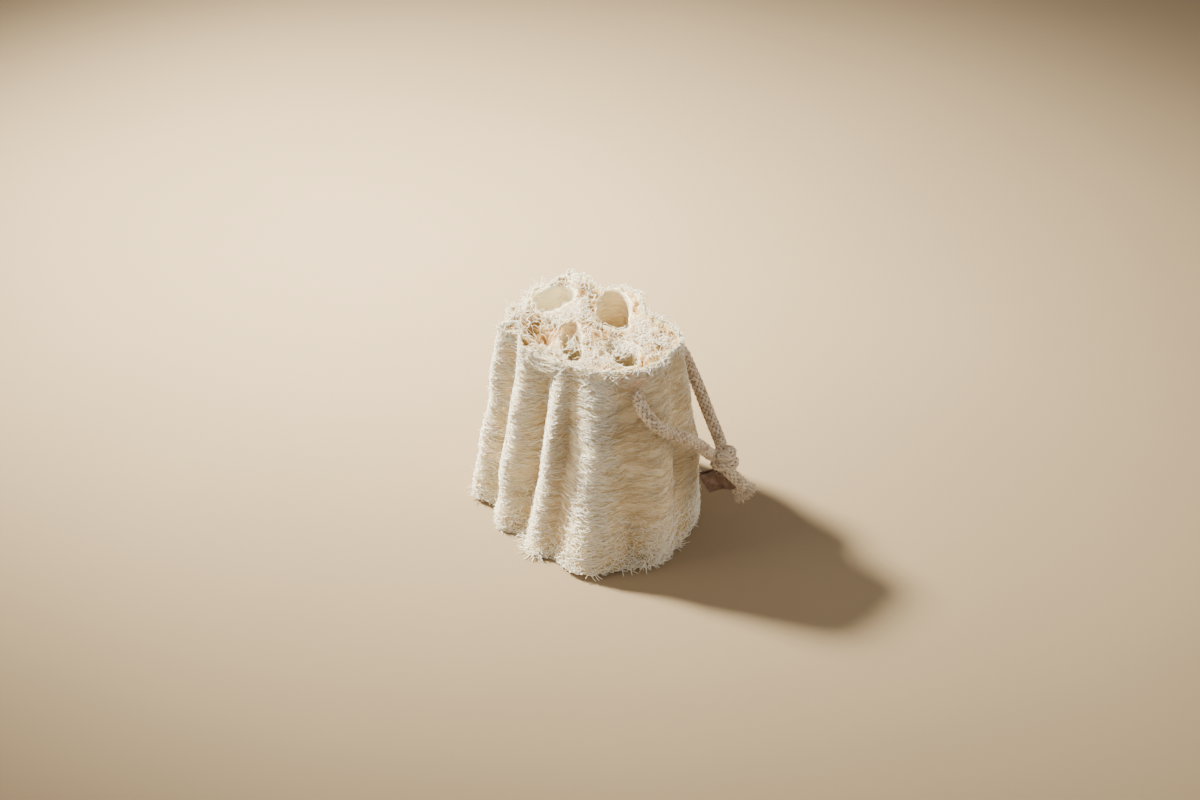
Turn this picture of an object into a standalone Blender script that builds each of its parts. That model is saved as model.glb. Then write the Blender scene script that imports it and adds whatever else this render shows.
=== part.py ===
"""Natural loofah sponge with a hanging cord. Metres, +Z up.

The sponge is one grown piece, the fibre net of a ridge gourd cut square at both ends. It stands on its wider
end, with its origin at the middle of that end. Its front, with the cord's first hole, faces -Y and +X.
A cotton cord runs through the wall near the rim, and is knotted beside the sponge with a folded leather tag.
Angles round the sponge are in degrees from -Y, counted towards +X.
"""
import math

import bmesh
import bpy
import numpy as np
from mathutils import Vector
from mathutils.geometry import delaunay_2d_cdt

MM = 0.001

# The sponge's height, and the mesh that its raised net is laid on
HEIGHT = 100.0
COLUMNS = 100
ROWS = 40
NET_DEPTH = 1.5
CAP_SPACING = 3.3
FOOT_SPACING = 5.2
CHAMBER_SIDES = 14
CHAMBER_ROWS = 14

# Each ridge's crest: angle at the foot, angle at the rim, radius at the foot, radius at the rim
CRESTS = (
    (-92, -84, 50.5, 35.5),
    (-65, -60, 43.5, 29.5),
    (-34, -18, 43.0, 28.5),
    (-1, 13, 49.8, 34.2),
    (38, 54, 52.8, 39.6),
    (80, 74, 52.0, 42.0),
    (130, 142, 50.0, 33.0),
    (170, 190, 50.0, 35.5),
    (208, 222, 49.0, 34.0),
    (240, 251, 49.0, 34.0),
)
# The groove after each crest, in the same order and terms
GROOVES = (
    (-82, -73, 40.5, 28.5),
    (-49, -36, 34.5, 22.0),
    (-20, -10, 41.0, 29.5),
    (25, 27, 48.0, 37.0),
    (58, 64, 50.0, 40.4),
    (105, 106, 44.0, 26.0),
    (150, 163, 43.0, 26.5),
    (190, 207, 43.0, 32.0),
    (225, 238, 42.0, 29.5),
    (253, 262, 42.0, 30.5),
)
CREST_SWELL = 1.2
GROOVE_PINCH = 3.0
RIM_WAVE = 1.2
FOOT_LIFT = 2.2

# Seed chambers from rim to foot: middle x and y, half width, half length, turn in degrees, squareness
CHAMBERS = {
    "back_right": (12.3, 12.0, 6.8, 11.4, 0.0, 3.5),
    "front_right": (16.2, -17.0, 5.9, 10.6, 14.0, 2.6),
    "left": (-4.9, -9.0, 4.2, 11.6, 6.0, 2.4),
    "back_left": (-13.2, 20.4, 5.3, 9.4, -57.0, 3.0),
}
# The dent on the rim end over a chamber that stays closed: middle x and y, half width, half length, depth
DENT = (-16.0, -3.0, 4.5, 7.5, 4.0)
CHAMBER_SHIFT = 1.15
CHAMBER_FLARE = 1.35

# The cord: one rope, through both holes and back to the knot
CORD = 5.4
CORD_CLEARANCE = 0.9
PASSAGE_REACH = 9.0
FACE_GAP = 0.3
FRONT_HOLE = (22.3, -33.5, 85.5)
BACK_HOLE = (31.5, 6.5, 86.5)
INNER_ROUTE = (FRONT_HOLE, (21.6, -27.6, 88.3), (24.8, -14.5, 89.4), (27.1, -2.2, 89.2), BACK_HOLE)
FRONT_ROUTE = (FRONT_HOLE, (25.8, -37.3, 81.0), (30.0, -37.8, 75.9), (35.0, -35.0, 70.2), (41.4, -31.3, 64.5),
               (48.7, -26.0, 55.1), (53.8, -20.8, 45.9))
BACK_ROUTE = (BACK_HOLE, (36.8, 9.3, 83.2), (41.7, 9.6, 77.6), (45.6, 7.4, 70.0), (49.3, 3.2, 62.6),
              (52.8, -2.0, 55.2), (56.1, -8.0, 49.4), (58.5, -13.0, 45.2))
END_STEP = 0.9
CURVE_STEPS = 24
INNER_POINTS = 11
STRAND_POINTS = 14
TUBE_RESOLUTION = 2

# The knot: its middle, the way it hangs, the cord wound round it, and the two tails that come out below it
KNOT = (59.2, -19.5, 43.3)
KNOT_DOWN = (0.41, -0.16, -0.90)
KNOT_FRONT = (0.0, -0.77, 0.64)
WIND_RADIUS = 3.65
WIND_PITCH = 4.4
WIND_FROM = 60
WIND_TO = 555
WIND_SINK = 60
WIND_LAP = 12
LAP_STEP = 0.3
WIND_HEIGHT = -1.8
REAR_TAIL = ((58.8, -16.2, 36.4), (66.9, -18.3, 22.3))
FRONT_TAIL = ((61.2, -24.0, 39.6), (69.0, -24.6, 30.8))
KNOT_SIDES = 12
KNOT_POINTS = 20
KNOT_REACH = 2.5

# The tag: a leather strip folded round the rear tail
TAG_WIDTH = 10.0
TAG_LEAF = 11.4
TAG_DROP = 2.0
TAG_LEAF_WAY = (-0.87, 0.11, -0.44)
TAG_THICK = 0.9
TAG_MOUTH = 1.3
FOLD_STEPS = 10
FOLD_TURN = 115

GRAIN = np.random.default_rng(7)


def material(name, colour, roughness):
    made = bpy.data.materials.new(name)
    made.use_nodes = True
    shader = made.node_tree.nodes["Principled BSDF"]
    shader.inputs["Base Color"].default_value = (*colour, 1.0)
    shader.inputs["Roughness"].default_value = roughness
    shader.inputs["Metallic"].default_value = 0.0
    return made


def add_object(name, points_mm, faces, made):
    mesh = bpy.data.meshes.new(name)
    mesh.from_pydata((np.asarray(points_mm) * MM).tolist(), [], faces)
    shape = bmesh.new()
    shape.from_mesh(mesh)
    bmesh.ops.recalc_face_normals(shape, faces=shape.faces)
    shape.to_mesh(mesh)
    shape.free()
    mesh.materials.append(made)
    obj = bpy.data.objects.new(name, mesh)
    bpy.context.scene.collection.objects.link(obj)
    return obj


def smooth_line(route, count):
    """count points, evenly spaced by parameter, on a Catmull-Rom curve through the route's own points."""
    p = np.array(route, float)
    p = np.vstack([2 * p[0] - p[1], p, 2 * p[-1] - p[-2]])
    at = np.linspace(0, len(route) - 1, count)
    i = np.minimum(at.astype(int), len(route) - 2)
    s = (at - i)[:, None]
    a, b, c, d = p[i], p[i + 1], p[i + 2], p[i + 3]
    return 0.5 * (2 * b + (c - a) * s + (2 * a - 5 * b + 4 * c - d) * s**2 + (3 * b - a - 3 * c + d) * s**3)


def along(line):
    return np.concatenate([[0], np.cumsum(np.linalg.norm(np.diff(line, axis=0), axis=1))])


def stretch(line, first, last, count):
    """count points on a stretch of the line between two lengths along it. The second and the last but one
    lie close to the ends, so that the tube's ends are cut square to the line."""
    at = np.linspace(first, last, count - 2)
    at = np.concatenate([at[:1], [first + END_STEP], at[1:-1], [last - END_STEP], at[-1:]])
    return np.stack([np.interp(at, along(line), line[:, k]) for k in range(3)], axis=1)


# Sponge: outer wall

def profile_tables():
    """Crests and grooves in turn round the sponge: angle and radius at the foot and at the rim."""
    rows = [row for pair in zip(CRESTS, GROOVES) for row in pair]
    return np.array(rows, float)


def wall(column, share):
    """Points on the outer wall. column counts crests and grooves in turn, share is the height from 0 to 1.

    Between a crest and a groove the radius follows a curve that is flat at the crest and steeper at the
    groove, so the ridges are round and the folds between them narrow."""
    table = profile_tables()
    count = len(table)
    k = np.floor(column).astype(int)
    s = column - k
    here, after = k % count, (k + 1) % count
    lap = (k + 1 == count) * 360.0
    on_groove = here % 2 == 1
    s_crest = np.where(on_groove, 1 - s, s)
    fold = 0.45 * s_crest**2 * (3 - 2 * s_crest) + 0.55 * s_crest**2 * (2 - s_crest)
    blend = np.where(on_groove, 1 - fold, fold)

    def radius(j):
        taper = np.where(table[j, 0] > 0, share**1.5, share**1.1)
        middle = np.sin(math.pi * share)
        pinch = np.where(j % 2 == 1, -GROOVE_PINCH, 0.4) * middle
        swell = CREST_SWELL * (np.sin(2 * math.pi * (1.3 * share + 0.37 * j)) * 0.6
                               + np.sin(2 * math.pi * (2.9 * share + 0.61 * j)) * 0.4)
        at_foot, at_rim = table[j, 2], table[j, 3]
        return at_foot + (at_rim - at_foot) * taper + pinch + swell * np.minimum(1, 4 * (1 - share))

    def angle(j):
        return table[j, 0] + (table[j, 1] - table[j, 0]) * share

    turn = np.radians(angle(here) * (1 - s) + (angle(after) + lap) * s)
    r = radius(here) * (1 - blend) + radius(after) * blend
    lift = FOOT_LIFT * np.clip(np.sin(turn * 3 + 0.6) + np.sin(turn * 5 + 2.0), 0, 1.2) / 1.2
    z = HEIGHT * share + lift * (1 - share)**10 + RIM_WAVE * np.sin(turn * 4 + 1.0) * share**10
    return np.stack([r * np.sin(turn), -r * np.cos(turn), z], axis=-1)


def pressed_in(points, depth, seed):
    """The grid with every other point of each row pressed in along its normal, in turn from row to row.

    The points that stay proud join up slantwise, so the surface becomes a raised net of uneven meshes."""
    rng = np.random.default_rng(seed)
    across = np.roll(points, -1, axis=1) - np.roll(points, 1, axis=1)
    up = np.gradient(points, axis=0)
    normal = np.cross(across, up)
    normal /= np.linalg.norm(normal, axis=-1, keepdims=True)
    rows, columns = points.shape[:2]
    row, column = np.mgrid[0:rows, 0:columns]
    pit = (row + column) % 2 == 1
    share = np.where(pit, -rng.uniform(0.6, 1.25, (rows, columns)), rng.uniform(-0.1, 0.3, (rows, columns)))
    ends = np.minimum(np.minimum(row, rows - 1 - row), 1)
    return points + normal * (share * ends * depth)[..., None]


def grid_faces(rows, columns, first, inward=False):
    """Two triangles for each square of a closed grid, split along the line between its proud corners."""
    faces = []
    for i in range(rows - 1):
        for j in range(columns):
            a, b = first + i * columns + j, first + i * columns + (j + 1) % columns
            c, d = b + columns, a + columns
            pair = [(a, b, c), (a, c, d)] if (i + j) % 2 == 0 else [(a, b, d), (b, c, d)]
            faces += [t[::-1] for t in pair] if inward else pair
    return faces


# Sponge: seed chambers

def chamber_ring(middle_x, middle_y, half_width, half_length, turn, squareness, share):
    """A ring round one chamber at this height: an ellipse with squared corners, wider towards the foot."""
    at = np.linspace(0, 2 * math.pi, CHAMBER_SIDES, endpoint=False)
    grow = CHAMBER_FLARE + (1 - CHAMBER_FLARE) * share
    shift = CHAMBER_SHIFT + (1 - CHAMBER_SHIFT) * share
    power = 2 / squareness
    x = half_width * grow * np.sign(np.cos(at)) * np.abs(np.cos(at))**power
    y = half_length * grow * np.sign(np.sin(at)) * np.abs(np.sin(at))**power
    c, s = math.cos(math.radians(turn)), math.sin(math.radians(turn))
    return np.stack([middle_x * shift + x * c - y * s, middle_y * shift + x * s + y * c], axis=1)


def cap_height(x, y, share):
    """The cut ends: the rim end is a little dished with a proud core, and the foot end is flat."""
    if share == 0:
        return np.zeros_like(x)
    out = np.hypot(x, y)
    middle_x, middle_y, half_width, half_length, depth = DENT
    dent = depth * np.exp(-((x - middle_x) / half_width)**2 - ((y - middle_y) / half_length)**2)
    return HEIGHT - 3.0 * np.exp(-((out - 17.0) / 8.0)**2) + 0.8 * np.exp(-(out / 7.0)**2) - dent


def chamber_wall(shape, seed):
    shares = np.linspace(0, 1, CHAMBER_ROWS)
    rings = []
    for share in shares:
        ring = chamber_ring(*shape, share)
        top = cap_height(ring[:, 0], ring[:, 1], 1)
        rings.append(np.column_stack([ring, top * share]))
    return pressed_in(np.array(rings), -0.7 * NET_DEPTH, seed)


# Sponge: cut ends

def inside(points, ring):
    """Whether each point lies inside a closed ring: a line from it to the right crosses the ring an odd
    number of times."""
    x, y = points[:, 0][:, None], points[:, 1][:, None]
    a, b = ring, np.roll(ring, -1, axis=0)
    crosses = (a[:, 1] > y) != (b[:, 1] > y)
    rise = np.where(b[:, 1] == a[:, 1], 1e-12, b[:, 1] - a[:, 1])
    at = a[:, 0] + (y - a[:, 1]) * (b[:, 0] - a[:, 0]) / rise
    return (crosses & (x < at)).sum(axis=1) % 2 == 1


def near_ring(points, ring):
    ends = np.roll(ring, -1, axis=0) - ring
    rel = points[:, None, :] - ring[None]
    s = np.clip((rel * ends).sum(-1) / (ends**2).sum(-1), 0, 1)
    return np.linalg.norm(rel - s[..., None] * ends, axis=-1).min(axis=1)


def cap(outer, holes, spacing, share, rng):
    """Inner points and triangles of a cut end between its outer ring and the chambers' rings.

    Inner points lie on a triangular lattice, and a third of them are pressed in, so the rest form a net of
    six-sided meshes. At the foot some patches under the ridges stay flat, for the sponge to rest on."""
    reach = int(60 / spacing)
    i, j = [g.ravel() for g in np.meshgrid(np.arange(-reach, reach), np.arange(-reach, reach))]
    lattice = np.column_stack([spacing * (i + 0.5 * j), spacing * 0.866 * j])
    lattice += rng.uniform(-0.16, 0.16, lattice.shape) * spacing
    keep = inside(lattice, outer) & (near_ring(lattice, outer) > 0.5 * spacing)
    for hole in holes:
        keep &= ~inside(lattice, hole) & (near_ring(lattice, hole) > 0.5 * spacing)
    lattice, pit = lattice[keep], ((i - j) % 3 == 0)[keep]
    flat = np.vstack([outer, *holes, lattice])
    edges, first = [], 0
    for ring in (outer, *holes):
        edges += [(first + k, first + (k + 1) % len(ring)) for k in range(len(ring))]
        first += len(ring)
    made, _, triangles, origin, _, _ = delaunay_2d_cdt([Vector(p) for p in flat], edges, [], 0, 1e-6)
    source = [group[0] for group in origin]
    triangles = np.array([[source[v] for v in t] for t in triangles])
    middle = flat[triangles].mean(axis=1)
    keep = inside(middle, outer)
    for hole in holes:
        keep &= ~inside(middle, hole)
    triangles = triangles[keep]
    a, b, c = (flat[triangles[:, k]] for k in range(3))
    turned = (b[:, 0] - a[:, 0]) * (c[:, 1] - a[:, 1]) < (b[:, 1] - a[:, 1]) * (c[:, 0] - a[:, 0])
    triangles[turned] = triangles[turned][:, ::-1]
    z = cap_height(lattice[:, 0], lattice[:, 1], share)
    sunk = NET_DEPTH * rng.uniform(0.8, 1.5, len(z))
    if share == 1:
        z = z - pit * sunk + ~pit * rng.uniform(-0.2, 0.5, len(z))
        return np.column_stack([lattice, z]), triangles
    turn = np.arctan2(lattice[:, 0], -lattice[:, 1])
    foot = (np.cos(turn * 5) > 0.1) & (np.hypot(*lattice.T) > 34)
    z = np.where(foot, 0.0, pit * sunk + 0.6)
    return np.column_stack([lattice, z]), triangles[:, ::-1]


def sponge(made):
    """The whole sponge as one closed surface: outer wall, chamber walls and both cut ends."""
    table = profile_tables()
    table_steps = np.linspace(0, len(table), 40 * len(table) + 1)
    ring = wall(table_steps, np.full(len(table_steps), 0.5))
    spread = along(ring)
    even = np.interp(np.arange(COLUMNS) * spread[-1] / COLUMNS, spread, table_steps)
    column, share = np.meshgrid(even, np.linspace(0, 1, ROWS))
    outer = pressed_in(wall(column, share), NET_DEPTH, 11)
    chambers = [chamber_wall(shape, 20 + k) for k, shape in enumerate(CHAMBERS.values())]
    points = [outer.reshape(-1, 3)] + [c.reshape(-1, 3) for c in chambers]
    starts = np.concatenate([[0], np.cumsum([len(p) for p in points])])
    faces = grid_faces(ROWS, COLUMNS, 0)
    for first in starts[1:-1]:
        faces += grid_faces(CHAMBER_ROWS, CHAMBER_SIDES, first, inward=True)
    for share_here, row in ((1, -1), (0, 0)):
        spacing = CAP_SPACING if share_here else FOOT_SPACING
        rings = [outer[row]] + [c[row] for c in chambers]
        inner, triangles = cap(rings[0][:, :2], [r[:, :2] for r in rings[1:]], spacing, share_here, GRAIN)
        last = len(outer) - 1 if share_here else 0
        index = [last * COLUMNS + np.arange(COLUMNS)]
        for first in starts[1:-1]:
            last = CHAMBER_ROWS - 1 if share_here else 0
            index.append(first + last * CHAMBER_SIDES + np.arange(CHAMBER_SIDES))
        index.append(sum(len(p) for p in points) + np.arange(len(inner)))
        faces += np.concatenate(index)[triangles].tolist()
        points.append(inner)
    points = np.vstack(points)
    points[:, :2] -= (points[:, :2].min(axis=0) + points[:, :2].max(axis=0)) / 2
    return add_object("loofah_sponge", points, faces, made)


# Cord

def tube(name, line, radius, made):
    """A plain round tube along a line, with flat ends."""
    curve = bpy.data.curves.new(name, "CURVE")
    curve.dimensions = "3D"
    curve.bevel_depth = radius * MM
    curve.bevel_resolution = TUBE_RESOLUTION
    curve.use_fill_caps = True
    spline = curve.splines.new("POLY")
    spline.points.add(len(line) - 1)
    for point, place in zip(spline.points, line):
        point.co = (*(Vector(place) * MM), 1.0)
    curve.materials.append(made)
    obj = bpy.data.objects.new(name, curve)
    bpy.context.scene.collection.objects.link(obj)
    return obj


def tube_mesh(name, line, radius, sides, made):
    """The same tube as a mesh: a ring at each point, square to the line, carried along without twist."""
    line = np.asarray(line, float)
    tangent = np.gradient(line, axis=0)
    tangent /= np.linalg.norm(tangent, axis=1, keepdims=True)
    side = np.cross(tangent[0], (0.3, 0.5, 0.8))
    rings = []
    turn = np.linspace(0, 2 * math.pi, sides, endpoint=False)
    for place, ahead in zip(line, tangent):
        side = side - ahead * (side @ ahead)
        side /= np.linalg.norm(side)
        other = np.cross(ahead, side)
        rings.append(place + radius * (np.outer(np.cos(turn), side) + np.outer(np.sin(turn), other)))
    faces = grid_faces(len(line), sides, 0)
    last = (len(line) - 1) * sides
    faces.append(tuple(reversed(range(sides))))
    faces.append(tuple(range(last, last + sides)))
    obj = add_object(name, np.vstack(rings), faces, made)
    obj.data.shade_smooth()
    return obj


def knot_axes():
    """Unit vectors of the knot: to its right, to its front and down its middle."""
    down = Vector(KNOT_DOWN).normalized()
    front = Vector(KNOT_FRONT)
    front = (front - down * front.dot(down)).normalized()
    return np.array([front.cross(down), front, down])


def winding(first, last):
    """Part of the cord round the knot's middle: a helix that sinks in towards the middle at both ends."""
    degrees = np.linspace(first, last, KNOT_POINTS)
    to_end = np.minimum(degrees - WIND_FROM, WIND_TO - degrees) / WIND_SINK
    radius = WIND_RADIUS * np.clip(0.5 + 0.5 * to_end, 0.5, 1)
    turn = np.radians(degrees)
    height = WIND_HEIGHT + WIND_PITCH * (degrees - 90) / 360
    in_knot = np.stack([-radius * np.cos(turn), radius * np.sin(turn), height], axis=1)
    return np.array(KNOT) + in_knot @ knot_axes()


def fill_hollows(obj):
    """Drops the skins of hollows between the turns, so that the solid is filled inside its outer skin."""
    shape = bmesh.new()
    shape.from_mesh(obj.data)
    left = set(shape.faces)
    skins = []
    while left:
        skin, edge_of = set(), [left.pop()]
        while edge_of:
            face = edge_of.pop()
            skin.add(face)
            near = {other for edge in face.edges for other in edge.link_faces} & left
            left -= near
            edge_of += near
        skins.append(skin)
    skins.sort(key=len)
    inner = [face for skin in skins[:-1] for face in skin]
    bmesh.ops.delete(shape, geom=inner, context="FACES")
    shape.to_mesh(obj.data)
    shape.free()


def knot(tails, made):
    """The knot and both tails as one solid. Each strand runs through the middle and out as a tail."""
    lines = list(tails)
    middle_turn = (WIND_FROM + WIND_TO) / 2
    lines += [winding(WIND_FROM, middle_turn + WIND_LAP), winding(middle_turn - WIND_LAP, WIND_TO)]
    thickness = (CORD, CORD, CORD, CORD - LAP_STEP)
    body, *others = [tube_mesh("cord_knot", line, across / 2, KNOT_SIDES, made)
                     for line, across in zip(lines, thickness)]
    for piece in others:
        join = body.modifiers.new("join", "BOOLEAN")
        join.operation = "UNION"
        join.solver = "MANIFOLD"
        join.object = piece
        joined = body.evaluated_get(bpy.context.evaluated_depsgraph_get())
        body.data = bpy.data.meshes.new_from_object(joined)
        body.modifiers.clear()
        bpy.data.objects.remove(piece)
    fill_hollows(body)
    return body


# Tag

def tag(made):
    """A strip folded round the rear tail: a loop round the cord that closes into two leaves."""
    start, end = np.array(REAR_TAIL)
    way = (end - start) / np.linalg.norm(end - start)
    leaf = np.array(TAG_LEAF_WAY)
    leaf /= np.linalg.norm(leaf)
    face = np.cross(way, leaf)
    face /= np.linalg.norm(face)
    inner = CORD / 2 + FACE_GAP + 0.15
    turn = np.linspace(-1.0, 1.0, FOLD_STEPS + 1) * math.radians(FOLD_TURN)
    loop = [(-math.cos(t), math.sin(t)) for t in turn]
    profile = []
    for radius, mouth in ((inner + TAG_THICK, TAG_MOUTH / 2 + TAG_THICK), (inner, TAG_MOUTH / 2)):
        near = 1.6 * inner
        fold = [(radius * x, radius * y) for x, y in loop]
        profile.append([(TAG_LEAF, -mouth), (near, -mouth), *fold, (near, mouth), (TAG_LEAF, mouth)])
    outline = profile[0] + profile[1][::-1]
    count = len(profile[0])
    total = len(outline)
    first = start + way * TAG_DROP
    places = [first + leaf * x + face * y + way * z for z in (0, TAG_WIDTH) for x, y in outline]
    faces = []
    for k in range(total):
        faces.append((k, (k + 1) % total, total + (k + 1) % total, total + k))
    for k in range(count - 1):
        faces.append((k, total - 1 - k, total - 2 - k, k + 1))
        faces.append((total + k, total + k + 1, 2 * total - 2 - k, 2 * total - 1 - k))
    return add_object("leather_tag", np.array(places), faces, made)


def drill(body, line):
    """Cuts the cord's passage out of the sponge."""
    cutter = tube_mesh("passage_cutter", line, CORD / 2 + CORD_CLEARANCE, 10, body.data.materials[0])
    cutter.hide_render = True
    cutter.display_type = "WIRE"
    cut = body.modifiers.new("passage", "BOOLEAN")
    cut.operation = "DIFFERENCE"
    cut.solver = "EXACT"
    cut.object = cutter


def main():
    for obj in list(bpy.data.objects):
        bpy.data.objects.remove(obj)
    fibre = material("loofah_fibre", (0.86, 0.78, 0.62), 0.75)
    cotton = material("cotton_cord", (0.66, 0.59, 0.48), 0.85)
    leather = material("tag_leather", (0.36, 0.22, 0.16), 0.6)

    body = sponge(fibre)
    right, ahead, down = knot_axes()
    middle = np.array(KNOT)
    rear = (middle - 0.8 * ahead - 0.5 * down, middle - 2.2 * ahead + 4.0 * down, *REAR_TAIL)
    fore = (middle - 1.5 * right - 1.6 * down, middle + 0.8 * ahead + 2.0 * down, *FRONT_TAIL)
    route = (*fore[::-1], *FRONT_ROUTE[::-1], *INNER_ROUTE[1:-1], *BACK_ROUTE, *rear)
    cord = smooth_line(route, CURVE_STEPS * (len(route) - 1) + 1)
    lengths = along(cord)[::CURVE_STEPS]
    front_knot = lengths[len(fore)] + KNOT_REACH
    front_hole = lengths[len(fore) + len(FRONT_ROUTE) - 1]
    back_hole = lengths[-len(rear) - len(BACK_ROUTE)]
    back_knot = lengths[-len(rear) - 1] - KNOT_REACH
    half_gap = FACE_GAP / 2
    fore_line = stretch(cord, 0, front_knot - half_gap, KNOT_POINTS)
    front = stretch(cord, front_knot + half_gap, front_hole - half_gap, STRAND_POINTS)
    inner = stretch(cord, front_hole + half_gap, back_hole - half_gap, INNER_POINTS)
    back = stretch(cord, back_hole + half_gap, back_knot - half_gap, STRAND_POINTS)
    rear_line = stretch(cord, back_knot + half_gap, lengths[-1], KNOT_POINTS)
    drill(body, stretch(cord, front_hole - PASSAGE_REACH, back_hole + PASSAGE_REACH, 4 * INNER_POINTS))
    tube("cord_through_sponge", inner, CORD / 2, cotton)
    tube("cord_front_strand", front, CORD / 2, cotton)
    tube("cord_back_strand", back, CORD / 2, cotton)
    knot((rear_line, fore_line), cotton)
    tag(leather)
    lengths = [round(length, 1) for length in (front_hole - front_knot, back_knot - back_hole)]
    print("Strands from hole to knot, mm:", *lengths)


main()
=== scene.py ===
"""Looks of a natural loofah sponge with a hanging cotton cord. Metres, +Z up, in the CAD's own frame.

Sizes in each section are in millimetres where the name or the comment says so. Angles round the sponge are in
degrees from -Y, counted towards +X.
"""
import math

import bpy
import numpy as np
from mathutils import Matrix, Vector
from mathutils.geometry import delaunay_2d_cdt


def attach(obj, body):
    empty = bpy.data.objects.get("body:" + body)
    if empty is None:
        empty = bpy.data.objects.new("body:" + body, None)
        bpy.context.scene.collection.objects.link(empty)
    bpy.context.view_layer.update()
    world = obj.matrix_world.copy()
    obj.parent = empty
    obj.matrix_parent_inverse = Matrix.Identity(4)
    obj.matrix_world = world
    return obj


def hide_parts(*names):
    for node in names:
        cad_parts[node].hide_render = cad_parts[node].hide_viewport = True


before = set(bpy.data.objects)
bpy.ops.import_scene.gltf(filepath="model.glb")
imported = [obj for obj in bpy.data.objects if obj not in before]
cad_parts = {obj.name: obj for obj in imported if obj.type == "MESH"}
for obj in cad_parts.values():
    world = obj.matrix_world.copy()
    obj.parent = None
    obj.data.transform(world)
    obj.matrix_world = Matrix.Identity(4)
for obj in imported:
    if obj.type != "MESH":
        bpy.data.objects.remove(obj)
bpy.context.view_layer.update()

# Camera
# The picture was taken from the front and well above, with a normal lens, over 0.7 m away.
# The sponge stands a little left of the middle of the picture.
target = Vector((0.0064, 0.0, 0.0589))
distance = 0.720
above = math.radians(39.5)
lens = bpy.data.cameras.new("camera")
lens.lens = 50.0
lens.sensor_width = 36.0
lens.clip_start = 0.01
lens.clip_end = 20.0
camera = bpy.data.objects.new("camera", lens)
camera.location = target + distance * Vector((0.0, -math.cos(above), math.sin(above)))
camera.rotation_mode = "QUATERNION"
camera.rotation_quaternion = (target - camera.location).to_track_quat("-Z", "Y")
bpy.context.scene.collection.objects.link(camera)
bpy.context.scene.camera = camera

# Cord: the two free strands and the stretch inside the sponge
# A braided cotton cord, 5.4 mm thick, of undyed flecked yarn. Its yarns run round it in both directions and
# pass over and under each other. It enters the sponge by one hole under the rim and leaves it by the other.
CORD = 5.4
CORD_GAP = 0.3
FRONT_HOLE = (22.3, -33.5, 85.5)
BACK_HOLE = (31.5, 6.5, 86.5)
INNER_ROUTE = (FRONT_HOLE, (21.6, -27.6, 88.3), (24.8, -14.5, 89.4), (27.1, -2.2, 89.2), BACK_HOLE)
FRONT_ROUTE = (FRONT_HOLE, (25.8, -37.3, 81.0), (30.0, -37.8, 75.9), (35.0, -35.0, 70.2), (41.4, -31.3, 64.5),
               (48.7, -26.0, 55.1), (53.8, -20.8, 45.9))
BACK_ROUTE = (BACK_HOLE, (36.8, 9.3, 83.2), (41.7, 9.6, 77.6), (45.6, 7.4, 70.0), (49.3, 3.2, 62.6),
              (52.8, -2.0, 55.2), (56.1, -8.0, 49.4), (58.5, -13.0, 45.2))
KNOT = (59.2, -19.5, 43.3)
KNOT_DOWN = (0.41, -0.16, -0.90)
KNOT_FRONT = (0.0, -0.77, 0.64)
KNOT_REACH = 2.5
REAR_TAIL = ((58.8, -16.2, 36.4), (66.9, -18.3, 22.3))
FRONT_TAIL = ((61.2, -24.0, 39.6), (69.0, -24.6, 30.8))
CURVE_STEPS = 24
BRAID_HAND = 7
BRAID_PITCH = 19.0
YARN_WIDTH = 1.25
YARN_THICKNESS = 0.95


def unit(v):
    return v / np.maximum(np.linalg.norm(v, axis=-1, keepdims=True), 1e-12)


def smooth_line(route, count):
    """count points, evenly spaced by parameter, on a Catmull-Rom curve through the route's own points."""
    p = np.array(route, float)
    p = np.vstack([2 * p[0] - p[1], p, 2 * p[-1] - p[-2]])
    at = np.linspace(0, len(route) - 1, count)
    i = np.minimum(at.astype(int), len(route) - 2)
    s = (at - i)[:, None]
    a, b, c, d = p[i], p[i + 1], p[i + 2], p[i + 3]
    return 0.5 * (2 * b + (c - a) * s + (2 * a - 5 * b + 4 * c - d) * s**2 + (3 * b - a - 3 * c + d) * s**3)


def along(line):
    return np.concatenate([[0], np.cumsum(np.linalg.norm(np.diff(line, axis=0), axis=1))])


def stretch(line, first, last, count):
    """count points, evenly spaced, on a stretch of the line between two lengths along it."""
    at = np.linspace(first, last, count)
    return np.stack([np.interp(at, along(line), line[:, k]) for k in range(3)], axis=1)


def tubes(lines, radius, sides, flat=1.0, ref=None):
    """Points, four-sided faces and end faces of many closed tubes at once.

    lines holds one row of points for each tube, in mm, and radius the tube's radius at each. At every point
    a ring of so many sides lies square to the line, flattened across the way that ref points."""
    n, m = lines.shape[:2]
    tangent = unit(np.gradient(lines, axis=1))
    if ref is None:
        ref = np.eye(3)[np.abs(tangent.mean(axis=1)).argmin(axis=1)][:, None, :]
    side = unit(np.cross(tangent, ref))
    other = np.cross(tangent, side)
    turn = np.arange(sides) * 2 * math.pi / sides
    ring = np.cos(turn)[:, None] * side[:, :, None] + flat * np.sin(turn)[:, None] * other[:, :, None]
    points = lines[:, :, None] + radius[:, :, None, None] * ring
    index = np.arange(n * m * sides).reshape(n, m, sides)
    after = np.roll(index, -1, axis=2)
    quads = np.stack([index[:, :-1], after[:, :-1], after[:, 1:], index[:, 1:]], axis=-1).reshape(-1, 4)
    ends = np.concatenate([index[:, 0, ::-1], index[:, -1]])
    return points.reshape(-1, 3), quads, ends


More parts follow.
